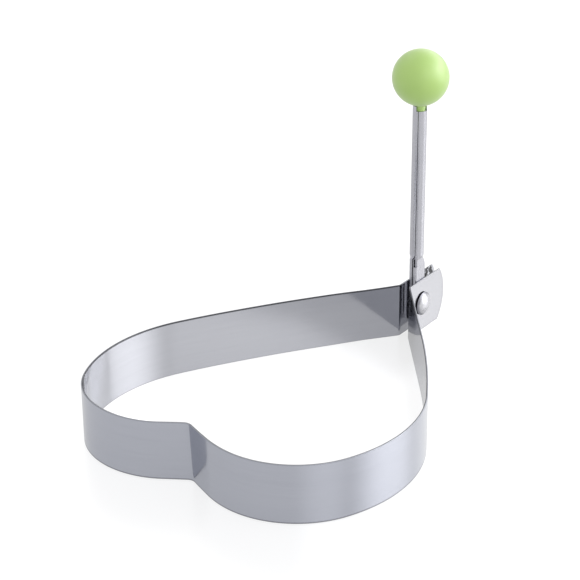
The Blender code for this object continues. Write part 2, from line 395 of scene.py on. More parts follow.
        # Painted shade: the darker of the rims' lines and band, towards the near-black colour.
        dark = (rim_line * self.rim_line_strength).math("MAXIMUM", rim * self.rim_strength)
        spread = (grain - 0.5) * self.grain_spread + (clouds - 0.5) * self.cloud_spread
        dulled = spread + rim * self.rim_roughness + throat_shade_share * self.patch_roughness
        relief = grain * self.relief_share + streaks * (1.0 - self.relief_share)
        sockets = {
            "Base Color": board.blend(dark, painted_shade, self.painted_rim_shade),
            "Roughness": dulled + outside * (self.outer_roughness - self.roughness) + self.roughness,
            "Metallic": 1.0,
            "Anisotropic": self.across_grain,
            "Anisotropic Rotation": self.grain_turn,
            "Normal": board.bump(relief, self.relief_depth),
        }
        return board.finish(board.node("ShaderNodeBsdfPrincipled", {}, sockets))


@dataclass(frozen=True)
class RolledTubeFinish:
    """Satin stainless, its grain drawn up the tube by the rolling. Scales are in clouds to a metre."""

    name: str = "rolled_handle_steel"
    light: Colour = (0.535, 0.535, 0.575, 1.0)
    dark: Colour = (0.48, 0.48, 0.52, 1.0)
    roughness: float = 0.27
    grain_spread: float = 0.08
    wear_spread: float = 0.10
    across_grain: float = 0.5
    grain_scales: tuple[float, float, float] = (3000.0, 3000.0, 60.0)
    wear_scale: float = 160.0
    tone_range: tuple[float, float] = (0.3, 0.7)
    relief_depth: float = 0.0015 * MM

    def material(self) -> bpy.types.Material:
        """Grain is noise on the piece's own place, drawn out upwards; cloudy wear shifts the sheen.

        Returns:
            The handle's material.
        """
        board = Board.for_material(self.name)
        place = board.object_place()
        drawn = board.node("ShaderNodeMapping", {}, {0: place, "Scale": self.grain_scales})
        grain = board.noise(drawn.outputs[0], 1.0, detail=3.0)
        wear = board.noise(place, self.wear_scale, detail=3.0)
        tone = (grain * 0.5 + wear * 0.5).ramp(*self.tone_range)
        spread = (grain - 0.5) * self.grain_spread + (wear - 0.5) * self.wear_spread
        sockets = {
            "Base Color": board.blend(tone, self.dark, self.light),
            "Roughness": spread + self.roughness,
            "Metallic": 1.0,
            "Anisotropic": self.across_grain,
            "Normal": board.bump(grain, self.relief_depth),
        }
        return board.finish(board.node("ShaderNodeBsdfPrincipled", {}, sockets))


@dataclass(frozen=True)
class MouldedFinish:
    """Satin moulded plastic, a little translucent, with a fine moulded skin and faint rub marks.

    Scales are in clouds to a metre.
    """

    name: str = "green_knob_plastic"
    base: Colour = (0.400, 0.655, 0.085, 1.0)
    deep: Colour = (0.375, 0.630, 0.074, 1.0)
    roughness: float = 0.44
    skin_spread: float = 0.06
    patch_roughness: float = 0.08
    cloud_scale: float = 90.0
    skin_scale: float = 2600.0
    rub_scale: float = 420.0
    tone_range: tuple[float, float] = (0.3, 0.7)
    rub_range: tuple[float, float] = (0.52, 0.72)
    relief_depth: float = 0.003 * MM

    def material(self) -> bpy.types.Material:
        """The colour drifts in soft clouds, and a fine skin breaks up the gloss.

        Returns:
            The ball's material.
        """
        board = Board.for_material(self.name)
        place = board.object_place()
        clouds = board.noise(place, self.cloud_scale).ramp(*self.tone_range)
        skin = board.noise(place, self.skin_scale)
        rubs = board.noise(place, self.rub_scale, detail=4.0).ramp(*self.rub_range)
        sockets = {
            "Base Color": board.blend(clouds, self.deep, self.base),
            "Roughness": (skin - 0.5) * self.skin_spread + rubs * self.patch_roughness + self.roughness,
            "Specular IOR Level": 1.0,
            "Coat Weight": 1.0,
            "Coat Roughness": 0.57,
            "Coat IOR": 2.1,
            "Sheen Weight": 0.4,
            "Sheen Roughness": 0.40,
            "Subsurface Weight": 0.12,
            "Subsurface Radius": (0.6, 1.0, 0.3),
            "Subsurface Scale": 2.0 * MM,
            "Normal": board.bump(skin, self.relief_depth),
        }
        return board.finish(board.node("ShaderNodeBsdfPrincipled", {}, sockets))


@dataclass(frozen=True)
class HeadedRivetFinish:
    """Bright rivet steel, marked by the tool that closed it, rougher towards the head's edge and there
    darkened by painted shade.

    The scale is in clouds to a metre, and the painted edge shade's range in shares of the head's radius.
    """

    centre: tuple[float, float, float]
    edge_radius: float
    name: str = "headed_rivet_steel"
    crown: Colour = (0.58, 0.58, 0.61, 1.0)
    # Painted shade: the darker colour towards the head's edge.
    painted_edge_shade: Colour = (0.26, 0.26, 0.29, 1.0)
    roughness: float = 0.28
    mark_spread: float = 0.14
    edge_roughness: float = 0.10
    patch_scale: float = 900.0
    edge_waver: float = 0.2
    edge_shade_range: tuple[float, float] = (0.76, 0.94)
    relief_depth: float = 0.003 * MM

    def material(self) -> bpy.types.Material:
        """The distance from the rivet's axis sets the change from crown to the painted shade at the edge.

        Returns:
            The rivet's material.
        """
        board = Board.for_material(self.name)
        place = board.object_place()
        shift = board.node("ShaderNodeVectorMath", {"operation": "SUBTRACT"}, {0: place, 1: self.centre})
        parts = board.node("ShaderNodeSeparateXYZ", {}, {0: shift.outputs[0]})
        x, z = (Value(board, parts.outputs[index]) for index in (0, 2))
        out = (x * x + z * z) ** 0.5
        patches = board.noise(place, self.patch_scale, detail=4.0)
        # Painted shade: share of the darker edge colour, growing towards the head's edge.
        painted_shade = (out / self.edge_radius + (patches - 0.5) * self.edge_waver).ramp(*self.edge_shade_range)
        sockets = {
            "Base Color": board.blend(painted_shade, self.crown, self.painted_edge_shade),
            "Roughness": (patches - 0.5) * self.mark_spread + painted_shade * self.edge_roughness + self.roughness,
            "Metallic": 1.0,
            "Normal": board.bump(patches, self.relief_depth),
        }
        return board.finish(board.node("ShaderNodeBsdfPrincipled", {}, sockets))


# Meshes


def new_piece(name: str, points: np.ndarray, faces: list[np.ndarray]) -> bpy.types.Object:
    """Makes an object from whole arrays.

    Args:
        name: the piece's name.
        points: vertex places, one row each.
        faces: arrays of vertex numbers, each with one face a row.

    Returns:
        The object, linked to the scene, with faces that point outwards.
    """
    corners = np.concatenate([part.ravel() for part in faces])
    sizes = np.concatenate([np.full(len(part), part.shape[1]) for part in faces])
    starts = np.concatenate([[0], np.cumsum(sizes)[:-1]])
    mesh = bpy.data.meshes.new(name)
    mesh.vertices.add(len(points))
    mesh.vertices.foreach_set("co", points.astype(np.float32).ravel())
    mesh.loops.add(len(corners))
    mesh.loops.foreach_set("vertex_index", corners.astype(np.int32))
    mesh.polygons.add(len(sizes))
    mesh.polygons.foreach_set("loop_start", starts.astype(np.int32))
    mesh.update(calc_edges=True)
    mesh.validate()
    face_outwards(mesh)
    piece = bpy.data.objects.new(name, mesh)
    bpy.context.scene.collection.objects.link(piece)
    return piece


def face_outwards(mesh: bpy.types.Mesh) -> None:
    """Turns a closed mesh's faces outwards, by the sign of its volume.

    Args:
        mesh: the mesh, which is changed.
    """
    bm = bmesh.new()
    bm.from_mesh(mesh)
    if bm.calc_volume(signed=True) < 0:
        bmesh.ops.reverse_faces(bm, faces=bm.faces)
        bm.to_mesh(mesh)
    bm.free()


def keep_pair(mesh: bpy.types.Mesh, name: str, pairs: np.ndarray) -> None:
    """Gives a mesh a map of two numbers for each vertex, which cuts carry over.

    Args:
        mesh: the mesh.
        name: the map's name.
        pairs: a row of two numbers for each vertex.
    """
    corners = np.empty(len(mesh.loops), np.int32)
    mesh.loops.foreach_get("vertex_index", corners)
    layer = mesh.uv_layers.new(name=name)
    layer.data.foreach_set("uv", pairs[corners].astype(np.float32).ravel())


def shade(piece: bpy.types.Object, crease: float = math.radians(40.0)) -> None:
    """Smooth shading, broken where faces meet at more than the crease."""
    piece.data.shade_smooth()
    piece.data.set_sharp_from_angle(angle=crease)


def tube_faces(rows: int, around: int) -> np.ndarray:
    """Joins a grid of rows whose sections are closed loops.

    Args:
        rows: how many sections there are.
        around: how many vertices go round each.

    Returns:
        The quads, row by row.
    """
    row, step = np.meshgrid(np.arange(rows - 1), np.arange(around), indexing="ij")
    here, after = row * around + step, row * around + (step + 1) % around
    return np.stack([here, after, after + around, here + around], -1).reshape(-1, 4)


def cap_faces(first: int, around: int) -> np.ndarray:
    """Quads that close a loop whose second half mirrors its first, from its first vertex on."""
    step = np.arange(around // 2 - 1)
    return first + np.stack([step, step + 1, around - 2 - step, around - 1 - step], -1)


def closed_grid_faces(rows: int, around: int) -> list[np.ndarray]:
    """Faces of a grid of closed sections, with both its ends closed."""
    last = (rows - 1) * around
    return [tube_faces(rows, around), cap_faces(0, around)[:, ::-1], cap_faces(last, around)]


def drawn_in(distance: np.ndarray, radius: float) -> np.ndarray:
    """How far a quarter-round edge draws the surface in, at a distance from the edge."""
    short = np.clip(radius - distance, 0, radius)
    return radius - np.sqrt(radius**2 - short**2)


def turned(
    name: str, profile: np.ndarray, steps: int, place: Callable[..., np.ndarray]
) -> bpy.types.Object:
    """Spins a profile whose two ends lie on the axis.

    A point at radius r and height h goes to r times the unit circle, at h along the axis.

    Args:
        name: the piece's name.
        profile: rows of radius and height, from one pole to the other.
        steps: places round the circle.
        place: puts (across, other across, along) in the part's frame.

    Returns:
        The closed piece.
    """
    radius, height = profile[1:-1].T
    angle = np.arange(steps) * 2 * np.pi / steps
    across = radius[:, None] * np.cos(angle)
    other = radius[:, None] * np.sin(angle)
    along = np.broadcast_to(height[:, None], across.shape)
    rings = np.stack([across, other, along], -1).reshape(-1, 3)
    poles = np.array([[0, 0, profile[0, 1]], [0, 0, profile[-1, 1]]])
    step = np.arange(steps)
    after = (step + 1) % steps
    last = (len(radius) - 1) * steps
    top = np.full(steps, len(rings))
    fans = [np.stack([top, after, step], -1), np.stack([top + 1, last + step, last + after], -1)]
    points = place(*np.concatenate([rings, poles]).T)
    return new_piece(name, points, [tube_faces(len(radius), steps), *fans])


def prism(name: str, outline: np.ndarray, sides: tuple[float, float]) -> bpy.types.Object:
    """Draws a flat outline out along Y, as a tool for cutting.

    Args:
        name: the tool's name.
        outline: rows of X and Z.
        sides: where it begins and ends along Y.

    Returns:
        The closed prism.
    """
    count = len(outline)
    x, z = outline.T
    points = np.concatenate([np.stack([x, np.full(count, y), z], -1) for y in sides])
    ends = np.stack([np.arange(count)[::-1], np.arange(count) + count])
    return new_piece(name, points, [tube_faces(2, count), ends])


def disc_outline(centre: tuple[float, float], radius: float, steps: int = 96) -> np.ndarray:
    """Points round a circle."""
    angle = np.arange(steps) * 2 * np.pi / steps
    return np.stack([centre[0] + radius * np.cos(angle), centre[1] + radius * np.sin(angle)], -1)


def cut(piece: bpy.types.Object, *tools: bpy.types.Object) -> None:
    """Takes the tools' volumes out of a piece, for good, and removes the tools.

    Args:
        piece: the piece, which is changed.
        tools: closed solids to cut with.
    """
    for tool in tools:
        boolean = piece.modifiers.new(tool.name, "BOOLEAN")
        boolean.operation, boolean.solver, boolean.object = "DIFFERENCE", "EXACT", tool
    graph = bpy.context.evaluated_depsgraph_get()
    done = bpy.data.meshes.new_from_object(
        piece.evaluated_get(graph), preserve_all_data_layers=True, depsgraph=graph
    )
    piece.modifiers.clear()
    piece.data = done
    for tool in tools:
        bpy.data.objects.remove(tool, do_unlink=True)


def smooth_step(share: np.ndarray) -> np.ndarray:
    """Eases from 0 to 1, level at both ends."""
    return share * share * (3 - 2 * share)


# Sub-assemblies


@dataclass(frozen=True)
class Stretch:
    """A stretch of the strip's path: how far it runs, how far it turns to the left, in how many steps."""

    length: float
    turn: float = 0.0
    steps: int = 4


@dataclass
class HeartStrip:
    """The strip bent to a heart, with its ends run on past the tip as two ears."""

    hinge: Vector
    sheet: float = 0.48 * MM
    height: float = 16.0 * MM
    rim_round: float = 0.12 * MM
    tip_half_angle: float = math.radians(36.8)
    flank_radius: float = 256.0 * MM
    flank_turn: float = math.radians(7.9)
    chest_radius: float = 41.6 * MM
    chest_turn: float = math.radians(55.5)
    lobe_radius: float = 24.1 * MM
    cleft_run: float = 7.0 * MM
    cleft_radius: float = 2.5 * MM
    cleft_half_angle: float = math.radians(29.0)
    fold_radius: float = 1.2 * MM
    fold_to_hinge: float = 7.0 * MM
    front_ear_radius: float = 12.4 * MM
    rear_ear_radius: float = 13.6 * MM
    ear_middle: float = 1.65 * MM
    cleft_pull: tuple[float, float] = (-0.4 * MM, 1.4 * MM)
    cleft_pull_reach: float = 10.0 * MM
    flank_bulge: float = 0.40 * MM
    flank_lean: float = 0.50 * MM
    flank_reach: float = 20.0 * MM
    flank_return: float = 30.0 * MM
    hole_radius: float = 1.55 * MM
    round_steps: int = 5
    height_steps: int = 22
    support_share: float = 0.3
    finish: RolledSheetFinish = field(default_factory=RolledSheetFinish)

    def stretches(self, ear_radius: float, side: float) -> list[Stretch]:
        """The half path's stretches, from an ear's end to the cleft.

        The lobe turns by what is left over from the other turns.

        Args:
            ear_radius: how far the ear runs past the hinge.
            side: length of the straight side.

        Returns:
            The stretches in order.
        """
        lobe_turn = (
            math.pi / 2 + self.tip_half_angle + self.cleft_half_angle - self.flank_turn - self.chest_turn
        )
        tangent = self.fold_radius * math.tan(self.tip_half_angle / 2)
        return [
            Stretch(self.rim_round, steps=self.round_steps),
            Stretch(ear_radius + self.fold_to_hinge - tangent - self.rim_round, steps=14),
            Stretch(self.fold_radius * self.tip_half_angle, -self.tip_half_angle, steps=18),
            Stretch(side, steps=6),
            Stretch(self.flank_radius * self.flank_turn, self.flank_turn, steps=16),
            Stretch(self.chest_radius * self.chest_turn, self.chest_turn, steps=44),
            Stretch(self.lobe_radius * lobe_turn, lobe_turn, steps=72),
            Stretch(self.cleft_run, steps=4),
            Stretch(self.cleft_radius * self.cleft_half_angle, -self.cleft_half_angle, steps=20),
        ]

    def half_path(self, ear_radius: float, side: float) -> tuple[np.ndarray, np.ndarray, np.ndarray]:
        """Follows the half path.

        On an arc the way from its start is a chord: its length is the arc's times sin(t) / t, with t
        half the turn so far, and it points half the turn away from the first heading.

        Args:
            ear_radius: how far the ear runs past the hinge.
            side: length of the straight side.

        Returns:
            Points, headings and distances run.
        """
        start, heading, run = np.array([ear_radius, self.ear_middle]), math.pi, 0.0
        points, headings, runs = [start[None]], [np.array([heading])], [np.array([run])]
        for stretch in self.stretches(ear_radius, side):
            share = np.arange(1, stretch.steps + 1) / stretch.steps
            turn = share * stretch.turn
            chord = share * stretch.length * np.sinc(turn / 2 / np.pi)
            aim = heading + turn / 2
            points.append(start + chord[:, None] * np.stack([np.cos(aim), np.sin(aim)], -1))
            headings.append(heading + turn)
            runs.append(run + share * stretch.length)
            start, heading, run = points[-1][-1], heading + stretch.turn, run + stretch.length
        return np.concatenate(points), np.concatenate(headings), np.concatenate(runs)

    def path(self) -> tuple[np.ndarray, np.ndarray, np.ndarray]:
        """The whole path from the rear ear round to the front one, whose half is mirrored.

        The straight side is as long as it takes for the half path to end on the middle plane.

        Returns:
            Points, headings and distances run.
        """
        overshoot = self.half_path(self.rear_ear_radius, 0.0)[0][-1, 1]
        side = -overshoot / math.sin(self.tip_half_angle)
        points, headings, runs = self.half_path(self.rear_ear_radius, side)
        front, front_headings, front_runs = self.half_path(self.front_ear_radius, side)
        back = slice(-2, None, -1)
        return (
            np.concatenate([points, front[back] * np.array([1, -1])]),
            np.concatenate([headings, 3 * math.pi - front_headings[back]]),
            np.concatenate([runs, runs[-1] + front_runs[-1] - front_runs[back]]),
        )

    def pulled(self, points: np.ndarray, level: np.ndarray) -> np.ndarray:
        """The path as the bending left it, its cleft pulled aside, at the lower rim half as far.

        The pull grows with the height, and falls off as a bell curve of the distance from the cleft.

        Args:
            points: the path.
            level: heights of the section's points, row by row.

        Returns:
            The path's place for each point of each section.
        """
        away = np.linalg.norm(points - points[len(points) // 2], axis=1) / self.cleft_pull_reach
        share = np.exp(-(away**2))[:, None] * (1 + level / self.height) / 2
        return points[:, None] + share[..., None] * np.array(self.cleft_pull)

    def sprung(self, runs: np.ndarray, level: np.ndarray) -> np.ndarray:
        """How far the rear flank springs outwards near the tip.

        It eases out over the flank's reach and back over the flank's return, and along the reach it
        leans in above and out below, most in the middle.

        Args:
            runs: distances along the path.
            level: heights of the section's points, row by row.

        Returns:
            The way outwards for each point.
        """
        past_tip = runs - self.rear_ear_radius - self.fold_to_hinge
        share = np.clip(past_tip / self.flank_reach, 0, 1)
        back = smooth_step(np.clip((past_tip - self.flank_reach) / self.flank_return, 0, 1))
        bulge = self.flank_bulge * smooth_step(share) * (1 - back)
        lean = self.flank_lean * np.sin(share * np.pi) ** 2
        return bulge[:, None] + lean[:, None] * (0.5 - level / self.height)

    def section(self) -> np.ndarray:
        """The sheet's section, up the inside and down the outside.

        Each rim's corner is a quarter circle of the rim's rounding.

        Returns:
            Rows of offset to the inside and height.
        """
        quarter = np.linspace(0, np.pi / 2, self.round_steps)
        inner = self.sheet / 2 - self.rim_round
        offset = inner + self.rim_round * np.sin(quarter)
        level = self.rim_round * (1 - np.cos(quarter))
        between = np.linspace(self.rim_round, self.height - self.rim_round, self.height_steps + 1)[1:-1]
        near = self.support_share * self.rim_round
        support = np.array([self.rim_round + near, self.height - self.rim_round - near])
        sides = np.sort(np.concatenate([between, support]))
        levels = np.concatenate([level, sides, self.height - level[::-1]])
        offsets = np.concatenate([offset, np.full(len(sides), self.sheet / 2), offset[::-1]])
        up = np.stack([offsets, levels], -1)
        down = np.stack([-offsets[::-1], levels[::-1]], -1)
        return np.concatenate([up, down])

    def build(self) -> bpy.types.Object:
        """Carries the section along the path and drills the rivet's hole.

        On an ear the sections lean back with height, more and more towards the end, so that the last
        one lies on the circle struck about the hinge. At each end the section draws in by a quarter
        circle of the rim's rounding.

        Returns:
            The strip's object.
        """
        points, headings, runs = self.path()
        section = self.section()
        rear = points[:, 1] > 0
        radius = np.where(rear, self.rear_ear_radius, self.front_ear_radius)
        to_end = np.minimum(runs, runs[-1] - runs)
        lean = np.clip(1 - to_end / (radius + self.fold_to_hinge), 0, 1) ** 2 * np.where(rear, 1.0, -1.0)
        rise = section[:, 1] - self.hinge.z
        sag = radius[:, None] - np.sqrt(radius[:, None] ** 2 - rise**2)
        inset = drawn_in(to_end, self.rim_round)[:, None]

        shift = lean[:, None] * sag
        across = section[:, 0] * (1 - inset / (self.sheet / 2))
        level = self.height / 2 + (section[:, 1] - self.height / 2) * (1 - inset / (self.height / 2))
        tangent = np.stack([np.cos(headings), np.sin(headings)], -1)[:, None]
        normal = np.stack([-np.sin(headings), np.cos(headings)], -1)[:, None]
        inwards = across - self.sprung(runs, level)
        flat = self.pulled(points, level) + tangent * shift[..., None] + normal * inwards[..., None]
        places = np.concatenate([flat, level[..., None]], -1) + np.array([self.hinge.x, 0, 0])
        faces = closed_grid_faces(*places.shape[:2])
        piece = new_piece("heart_strip_sheet", places.reshape(-1, 3), faces)

        keep_pair(piece.data, "sheet", np.stack([runs[:, None] + shift, level], -1).reshape(-1, 2))
        side = across / (self.sheet / 2)
        from_end = np.broadcast_to(to_end[:, None], side.shape)
        keep_pair(piece.data, "side", np.stack([side, from_end], -1).reshape(-1, 2))
        bore = disc_outline((self.hinge.x, self.hinge.z), self.hole_radius)
        cut(piece, prism("rivet_bore", bore, (-2 * self.ear_middle, 2 * self.ear_middle)))
        shade(piece)
        piece.data.materials.append(self.finish.material())
        return piece


@dataclass
class RolledHandle:
    """The handle: one sheet rolled to a tube with a seam, and pressed below to a flat U."""

    hinge: Vector
    sheet: float = 0.50 * MM
    tube_diameter: float = 4.1 * MM
    tube_setback: float = 0.7 * MM
    seam_gap: float = 0.12 * MM
    seam_turn: float = math.radians(18.0)
    notch_depth: float = 1.4 * MM
    notch_back: float = 1.6 * MM
    foot_thickness: float = 2.7 * MM
    foot_width: float = 5.7 * MM
    foot_drop: float = 5.3 * MM
    foot_corner: float = 1.4 * MM
    foot_gap: float = 0.30 * MM
    lip_curl: float = 0.50 * MM
    foot_taper: float = 2.8 * MM
    neck_start: float = 14.2 * MM
    neck_length: float = 1.3 * MM
    slot_height: float = 3.5 * MM
    slot_depth: float = 0.5 * MM
    tube_top: float = 60.451 * MM
    hole_radius: float = 1.55 * MM
    lip_round: float = 0.10 * MM
    slot_width: float = 1.10 * MM
    slot_share_past_lip: float = 0.2
    overrun: float = 2.0 * MM
    section_steps: int = 157
    lip_steps: int = 6
    corner_steps: int = 13
    foot_rows: int = 6
    taper_rows: int = 8
    neck_rows: int = 21
    tube_rows: int = 20
    mouth_rows: int = 5
    finish: RolledTubeFinish = field(default_factory=RolledTubeFinish)

    def tube_curve(self, share: np.ndarray) -> np.ndarray:
        """Middle of the tube's wall: a circle broken by the seam, which is turned towards -Y.

        Args:
            share: places along the section from lip to lip, -1 to 1.

        Returns:
            Points from the hinge, across the section.
        """
        radius = (self.tube_diameter - self.sheet) / 2
        angle = share * (np.pi - self.seam_gap / 2 / radius) + self.seam_turn
        return np.stack([radius * np.cos(angle) - self.tube_setback, radius * np.sin(angle)], -1)

    def foot_curve(self, share: np.ndarray, back: np.ndarray) -> np.ndarray:
        """Middle of the foot's wall: half round behind, two straight legs, and lips curled together.

        Along each half the wall turns a quarter at the back, runs forwards, turns a quarter at the
        front and runs inwards to the lip. Each run is the distance so far, kept to its own length.

        Args:
            share: places along the section from lip to lip, -1 to 1.
            back: how far back the foot reaches at each height.

        Returns:
            Points from the hinge, across each section.
        """
        bend = (self.foot_thickness - self.sheet) / 2
        centre = back - self.sheet / 2 - bend
        leg = centre + self.foot_width / 2 - self.sheet / 2 - self.lip_curl
        quarter, curl = bend * np.pi / 2, self.lip_curl * np.pi / 2
        along = np.abs(share) * (quarter + leg + curl + bend - self.lip_curl - self.foot_gap / 2)
        first = np.minimum(along, quarter) / bend
        straight = np.clip(along - quarter, 0, leg)
        second = np.clip(along - quarter - leg, 0, curl) / self.lip_curl
        inwards = np.maximum(along - quarter - leg - curl, 0)
        x = centre + bend * np.cos(first) - straight - self.lip_curl * np.sin(second)
        y = bend * np.sin(first) - self.lip_curl * (1 - np.cos(second)) - inwards
        return np.stack([x, np.sign(share) * y], -1)

    def levels(self) -> tuple[np.ndarray, np.ndarray, np.ndarray]:
        """The handle's rows, closer together at the neck and at the tube's mouth.

        Returns:
            Heights above the hinge, with the section's roundness and the foot's reach back at each.
        """
        neck_end = self.neck_start + self.neck_length
        taper_start = self.neck_start - self.foot_taper
        edge = self.tube_top - self.lip_round
        height = np.concatenate([
            np.linspace(-self.foot_drop - self.overrun, taper_start, self.foot_rows)[:-1],
            np.linspace(taper_start, self.neck_start, self.taper_rows)[:-1],
            np.linspace(self.neck_start, neck_end, self.neck_rows),
            np.linspace(neck_end, edge, self.tube_rows)[1:],
            np.linspace(edge, self.tube_top, self.mouth_rows)[1:],
        ])
        roundness = smooth_step(np.clip((height - self.neck_start) / self.neck_length, 0, 1))
        tapered = smooth_step(np.clip((height - taper_start) / (neck_end - taper_start), 0, 1))
        tube_back = self.tube_diameter / 2 - self.tube_setback
        return height, roundness, self.foot_width / 2 + tapered * (tube_back - self.foot_width / 2)

    def shares(self) -> np.ndarray:
        """The section's places, closer together at the rounded lips.

        Returns:
            Shares of the way from the middle to the lips, from -1 to 1.
        """
        near = self.lip_round / (np.pi * self.tube_diameter / 2)
        lip = 1 - near * np.linspace(0, 1, self.lip_steps)
        body = np.linspace(-lip[-1], lip[-1], self.section_steps)[1:-1]
        return np.concatenate([-lip, body, lip[::-1]])

    def build(self) -> bpy.types.Object:
        """Lofts the closed sheet section up the handle and cuts foot, slot, mouth and hole.

        At each height the wall's middle curve is the foot's curve eased into the tube's. The section
        goes along it half a sheet to one side and comes back half a sheet to the other, and draws in
        by a quarter circle at the seam's lips and at the tube's top.

        Returns:
            The handle's object.
        """
        height, roundness, back = self.levels()
        share = self.shares()
        foot = self.foot_curve(share, back[:, None])
        middle = foot + roundness[:, None, None] * (self.tube_curve(share) - foot)
        slope = np.gradient(middle, share, axis=1)
        half_length = np.linalg.norm(slope, axis=-1, keepdims=True)
        outward = np.stack([slope[..., 1], -slope[..., 0]], -1) / half_length
        to_lip = (1 - np.abs(share)) * half_length[..., 0]
        to_edge = np.minimum(to_lip, (self.tube_top - height)[:, None])
        half = (self.sheet / 2 - drawn_in(to_edge, self.lip_round))[..., None]

        loop = np.concatenate([middle - half * outward, (middle + half * outward)[:, ::-1]], 1)
        level = np.broadcast_to(height[:, None], loop.shape[:2])[..., None]
        places = np.concatenate([loop, level], -1) + np.array(self.hinge)
        faces = closed_grid_faces(*places.shape[:2])
        piece = new_piece("rolled_handle_sheet", places.reshape(-1, 3), faces)
        cut(piece, self.bore(), self.foot_tool(), self.slot_tool(), self.notch_tool())
        shade(piece)
        piece.data.materials.append(self.finish.material())
        return piece

    def bore(self) -> bpy.types.Object:
        """The tool for the rivet's hole."""
        outline = disc_outline((self.hinge.x, self.hinge.z), self.hole_radius)
        return prism("foot_bore", outline, (-self.foot_width, self.foot_width))

    def foot_tool(self) -> bpy.types.Object:
        """Shapes what lies below the foot, round the foot's two corners.

        Returns:
            The tool that cuts it away.
        """
        half, reach = self.foot_width / 2, self.foot_width / 2 + self.overrun
        angle = np.linspace(0, np.pi / 2, self.corner_steps)
        across = half - self.foot_corner + self.foot_corner * np.cos(angle)
        level = self.foot_corner - self.foot_drop - self.foot_corner * np.sin(angle)
        right = np.stack([across, level], -1)
        left = right[::-1] * np.array([-1, 1])
        floor = -self.foot_drop - 2 * self.overrun
        ends = np.array([[-reach, level[0]], [-reach, floor], [reach, floor], [reach, level[0]]])
        outline = np.concatenate([right, left, ends]) + np.array([self.hinge.x, self.hinge.z])
        return prism("foot_end", outline, (-self.foot_thickness, self.foot_thickness))

    def block(
        self, name: str, back: float, levels: tuple[float, float], sides: tuple[float, float]
    ) -> bpy.types.Object:
        """A tool for a cut into the handle's front.

        Args:
            name: the tool's name.
            back: how far back it reaches, from the hinge.
            levels: its lower and upper ends, above the hinge.
            sides: its two sides along Y.

        Returns:
            The tool, which begins in front of the tube.
        """
        front = -self.tube_setback - self.tube_diameter / 2 - self.overrun
        corners = [(front, levels[0]), (back, levels[0]), (back, levels[1]), (front, levels[1])]
        return prism(name, np.array(corners) + np.array([self.hinge.x, self.hinge.z]), sides)

    def slot_tool(self) -> bpy.types.Object:
        """Places the slot under the wrapped lip, over the seam and mostly to its -Y side.

        Returns:
            The tool that cuts it.
        """
        top = self.neck_start + self.neck_length
        seam = -math.sin(self.seam_turn) * (self.tube_diameter - self.sheet) / 2
        past = self.slot_share_past_lip
        sides = (seam - (1 - past) * self.slot_width, seam + past * self.slot_width)
        back = self.slot_depth - self.foot_width / 2
        return self.block("lip_slot", back, (top - self.slot_height, top), sides)

    def notch_tool(self) -> bpy.types.Object:
        """Places the notch in the tube's mouth, from its front round to the -Y side.

        Returns:
            The tool that cuts it.
        """
        levels = (self.tube_top - self.notch_depth, self.tube_top + self.overrun)
        back = self.notch_back - self.tube_setback
        return self.block("mouth_notch", back, levels, (-self.tube_diameter, 0))


@dataclass
class BallKnob:
    """The ball, its flat seat on the tube's end, and the peg inside the tube."""

    hinge: Vector
    diameter: float = 16.0 * MM
    above_hinge: float = 68.4 * MM
    setback: float = 0.7 * MM
    seat_radius: float = 2.35 * MM
    seat_edge_share: float = 0.98
    peg_radius: float = 1.50 * MM
    peg_length: float = 8.0 * MM
    peg_chamfer: float = 0.4 * MM
    peg_root_share: float = 0.04
    steps: int = 128
    arc_steps: int = 90
    finish: MouldedFinish = field(default_factory=MouldedFinish)

    def profile(self) -> np.ndarray:
        """Draws half the ball: an arc from its crown, the flat seat, and the peg with its chamfer.

        Returns:
            Rows of radius and height, about the ball's centre.
        """
        radius = self.diameter / 2
        angle = np.linspace(0, np.pi - math.asin(self.seat_radius / radius), self.arc_steps)
        ball = radius * np.stack([np.sin(angle), np.cos(angle)], -1)
        seat = ball[-1, 1]
        end = seat - self.peg_length
        root = self.peg_root_share * self.peg_radius
        peg = [
            (self.seat_radius * self.seat_edge_share, seat),
            (self.peg_radius + root, seat),
            (self.peg_radius, seat - root),
            (self.peg_radius, end + self.peg_chamfer),
            (self.peg_radius - self.peg_chamfer, end),
            (0, end),
        ]
        return np.concatenate([ball, np.array(peg)])

    def build(self) -> bpy.types.Object:
        """Turns the profile about the handle's axis.

        Returns:
            The ball's object.
        """
        centre = Vector((self.hinge.x - self.setback, 0, self.hinge.z + self.above_hinge))

        def place(across: np.ndarray, other: np.ndarray, along: np.ndarray) -> np.ndarray:
            """Stands the turning axis upright at the ball's centre."""
            return np.stack([centre.x + across, centre.y + other, centre.z + along], -1)

        piece = turned("ball_knob_moulding", self.profile(), self.steps, place)
        shade(piece)
        piece.data.materials.append(self.finish.material())
        return piece


